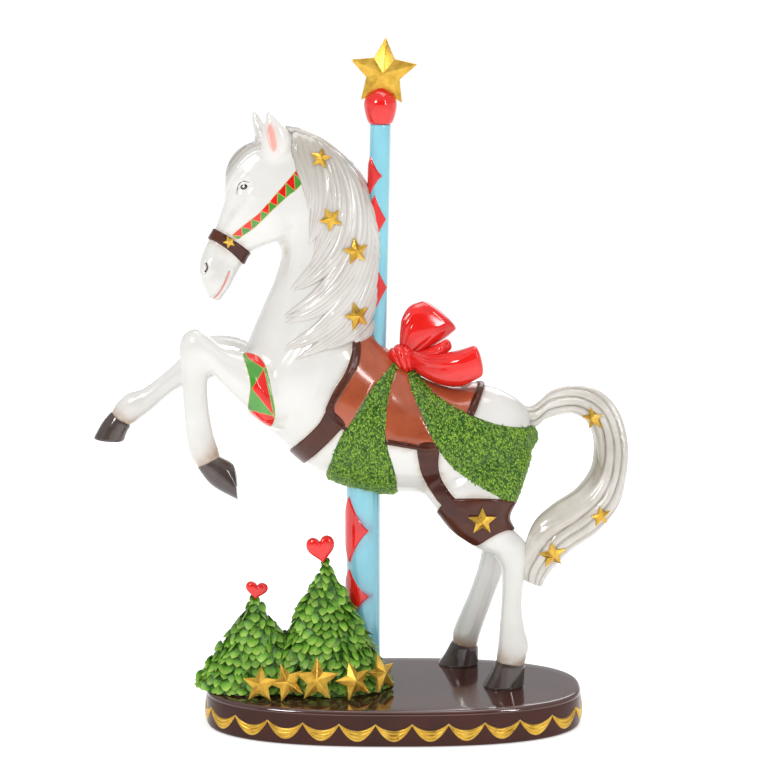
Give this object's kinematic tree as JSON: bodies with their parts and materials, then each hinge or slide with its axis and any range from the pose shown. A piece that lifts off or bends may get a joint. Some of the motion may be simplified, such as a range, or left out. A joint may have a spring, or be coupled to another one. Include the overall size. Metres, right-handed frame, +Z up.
{
  "type": "carousel horse on a display stand",
  "caption": "Rearing carousel horse carried by a striped pole on an oval base, with leaf garlands, a ribbon bow, fir trees and applied stars.",
  "frame": {"origin": "middle of the base's underside", "axes": "+Z up along the poles' height; the horse looks along -X; its near side faces -Y"},
  "size_m": [0.7429, 0.2468, 0.9399],
  "materials": {
    "base_brown": "cast resin, dark chocolate paint under high-gloss lacquer, gold scallops",
    "horse_white": "cast resin, glossy off-white with taupe mane and tail, brown saddle and straps, faint tan antiquing",
    "hair_taupe": "cast resin, pearl taupe paint with darker grooves between the strands",
    "pole_blue": "light blue gloss paint with raised red diamonds",
    "red_gloss": "bright red high-gloss lacquer",
    "gold_paint": "antiqued metallic gold paint",
    "leaf_green": "leaf-textured casting, satin green with darker crevices",
    "fir_green": "overlapping leaves, satin green with lighter tips"
  },
  "bodies": {
    "root": {"base": "base_brown", "horse": "horse_white", "tail": "hair_taupe", "foreleg_far": "horse_white", "foreleg_near": "horse_white", "pole_lower": "pole_blue", "pole_upper": "pole_blue", "pole_cap": "red_gloss", "star_top": "gold_paint", "bow": "red_gloss", "garland_front": "leaf_green", "garland_rear": "leaf_green", "tree_left": "fir_green", "tree_right": "fir_green", "heart_left": "red_gloss", "heart_right": "red_gloss", "star_mane_1": "gold_paint", "star_mane_2": "gold_paint", "star_mane_3": "gold_paint", "star_mane_4": "gold_paint", "star_bridle": "gold_paint", "star_thigh": "gold_paint", "star_tail_1": "gold_paint", "star_tail_2": "gold_paint", "star_tail_3": "gold_paint", "star_base_1": "gold_paint", "star_base_2": "gold_paint", "star_base_3": "gold_paint", "star_base_4": "gold_paint", "star_base_5": "gold_paint"}
  },
  "joints": []
}
